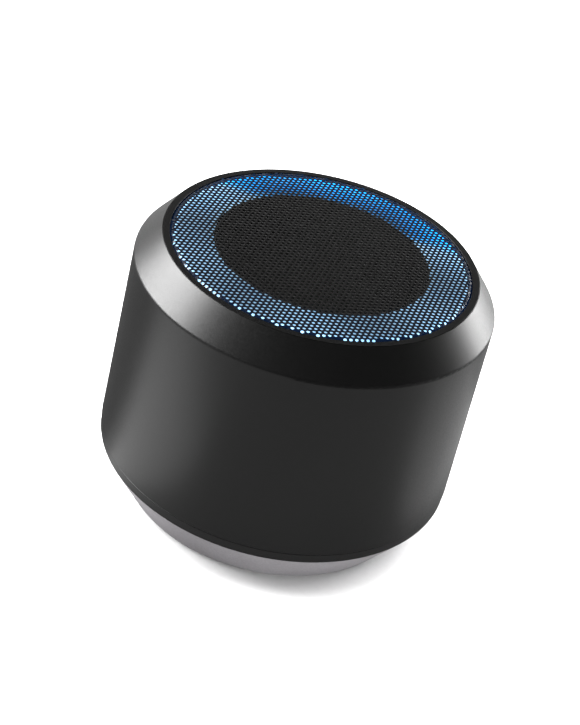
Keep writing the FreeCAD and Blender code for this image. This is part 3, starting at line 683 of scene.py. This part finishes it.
def inside_cell(place, nearest):
    """Whether a place lies in the six-sided cell of its nearest hole."""
    offset = Matrix.Rotation(-ROW_ANGLE, 2) @ (place - nearest)
    for k in range(3):
        angle = k * math.pi / 3
        across = offset.x * math.cos(angle) + offset.y * math.sin(angle)
        if abs(across) > PITCH / 2 + 1e-7:
            return False
    return True


def add_rim(sheet, centres, sides):
    """Plain metal from the outer cells' edges to the foot of the rolled rim."""
    points, index = [], {}

    def point(place):
        key = key_of(place.x, place.y)
        if key not in index:
            index[key] = len(points)
            points.append(place)
        return index[key]

    edges = [(point(a), point(b)) for a, b in sides]
    inner = ROLL_START_R - PITCH
    circle = []
    for n in range(RIM_ROWS + 1):
        radius = inner + (sheet.end - inner) * n / RIM_ROWS
        for k in range(RIM_SIDES):
            angle = 2 * math.pi * (k + 0.5 * (n % 2)) / RIM_SIDES
            place = Vector((math.cos(angle), math.sin(angle))) * radius
            if n == RIM_ROWS:
                circle.append(point(place))
            elif min((place - c).length_squared for c in centres) > RIM_CLEARANCE ** 2:
                point(place)
    edges += [(circle[k], circle[(k + 1) % RIM_SIDES]) for k in range(RIM_SIDES)]
    verts, _, faces, _, _, _ = delaunay_2d_cdt(points, edges, [], 0, 1e-9)
    for corners in faces:
        middle = sum((verts[i] for i in corners), Vector((0, 0))) / len(corners)
        nearest = min(centres, key=lambda c: (middle - c).length_squared)
        if middle.length < inner - PITCH or inside_cell(middle, nearest):
            continue
        sheet.face(*[sheet.vertex(verts[i]) for i in corners])
        sheet.face(*[sheet.vertex(verts[i], SHEET) for i in reversed(corners)])
    for k in range(RIM_SIDES):
        a, b = points[circle[k]], points[circle[(k + 1) % RIM_SIDES]]
        inner_a, inner_b = sheet.vertex(a, SHEET), sheet.vertex(b, SHEET)
        sheet.face(sheet.vertex(a), inner_a, inner_b, sheet.vertex(b))


def perforated_grille(coat, edge):
    """Closed mesh of the grille with every hole cut through."""
    sheet = Sheet()
    centres = list(hole_centres(ROLL_START_R + HOLES_ON_ROLL))
    sides = {}
    for centre in centres:
        corners = add_cell(sheet, centre)
        for k in range(CELL_SIDES):
            a, b = corners[k], corners[(k + 1) % CELL_SIDES]
            sides.setdefault(tuple(sorted((key_of(*a), key_of(*b)))), []).append((a, b))
    outer = [ends[0] for ends in sides.values() if len(ends) == 1]
    near = [c for c in centres if c.length > ROLL_START_R - 4 * PITCH]
    add_rim(sheet, near, outer)
    bmesh.ops.recalc_face_normals(sheet.mesh, faces=sheet.mesh.faces)
    data = bpy.data.meshes.new("grille_sheet")
    sheet.mesh.to_mesh(data)
    sheet.mesh.free()
    data.set_sharp_from_angle(angle=CRISP_ANGLE)
    piece = new_piece("grille_sheet", data, "housing", "grille_steel", coat, edge)
    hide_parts("grille")


def flexing_spider():
    """The spider's cloth: its glued rim stays with the basket and its neck goes with the coil."""
    source = frame["nodes"]["spider"]
    piece = bpy.data.objects.new("spider_cloth_disc", source.data.copy())
    bpy.context.scene.collection.objects.link(piece)
    piece.matrix_world = source.matrix_world
    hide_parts("spider")
    rim, neck = (SPIDER_RIM_R, 0, SPIDER_BOTTOM), (SPIDER_NECK_R, 0, SPIDER_BOTTOM)
    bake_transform(piece, "housing", "diaphragm", rim, neck)
    weights = piece.data.attributes["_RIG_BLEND"].data
    for vertex, weight in zip(piece.data.vertices, weights):
        reach = math.hypot(vertex.co.x, vertex.co.y)
        step = (SPIDER_RIM_R - reach) / (SPIDER_RIM_R - SPIDER_NECK_R)
        step = min(max(step, 0.0), 1.0)
        weight.value = step * step * (3 - 2 * step)


add_camera()
add_studio()
MATERIALS = make_materials()
SLOTS = {part["node"]: part["material_slot"] for part in frame["record"]["subparts"]}
for node, holder in frame["nodes"].items():
    for slot in holder.material_slots:
        slot.material = MATERIALS[SLOTS[node]]

flexing_spider()
perforated_grille(MATERIALS["grille_steel"], MATERIALS["grille_edge"])
add_mark("minus", bar(MARK_REACH, STROKE_HALF))
add_mark("plus", bar(MARK_REACH, STROKE_HALF), bar(STROKE_HALF, MARK_REACH))
add_mark("play", [(-MARK_REACH, 0.0), (0.8, MARK_REACH), (0.8, -MARK_REACH)])

bpy.context.scene.view_settings.view_transform = "Standard"
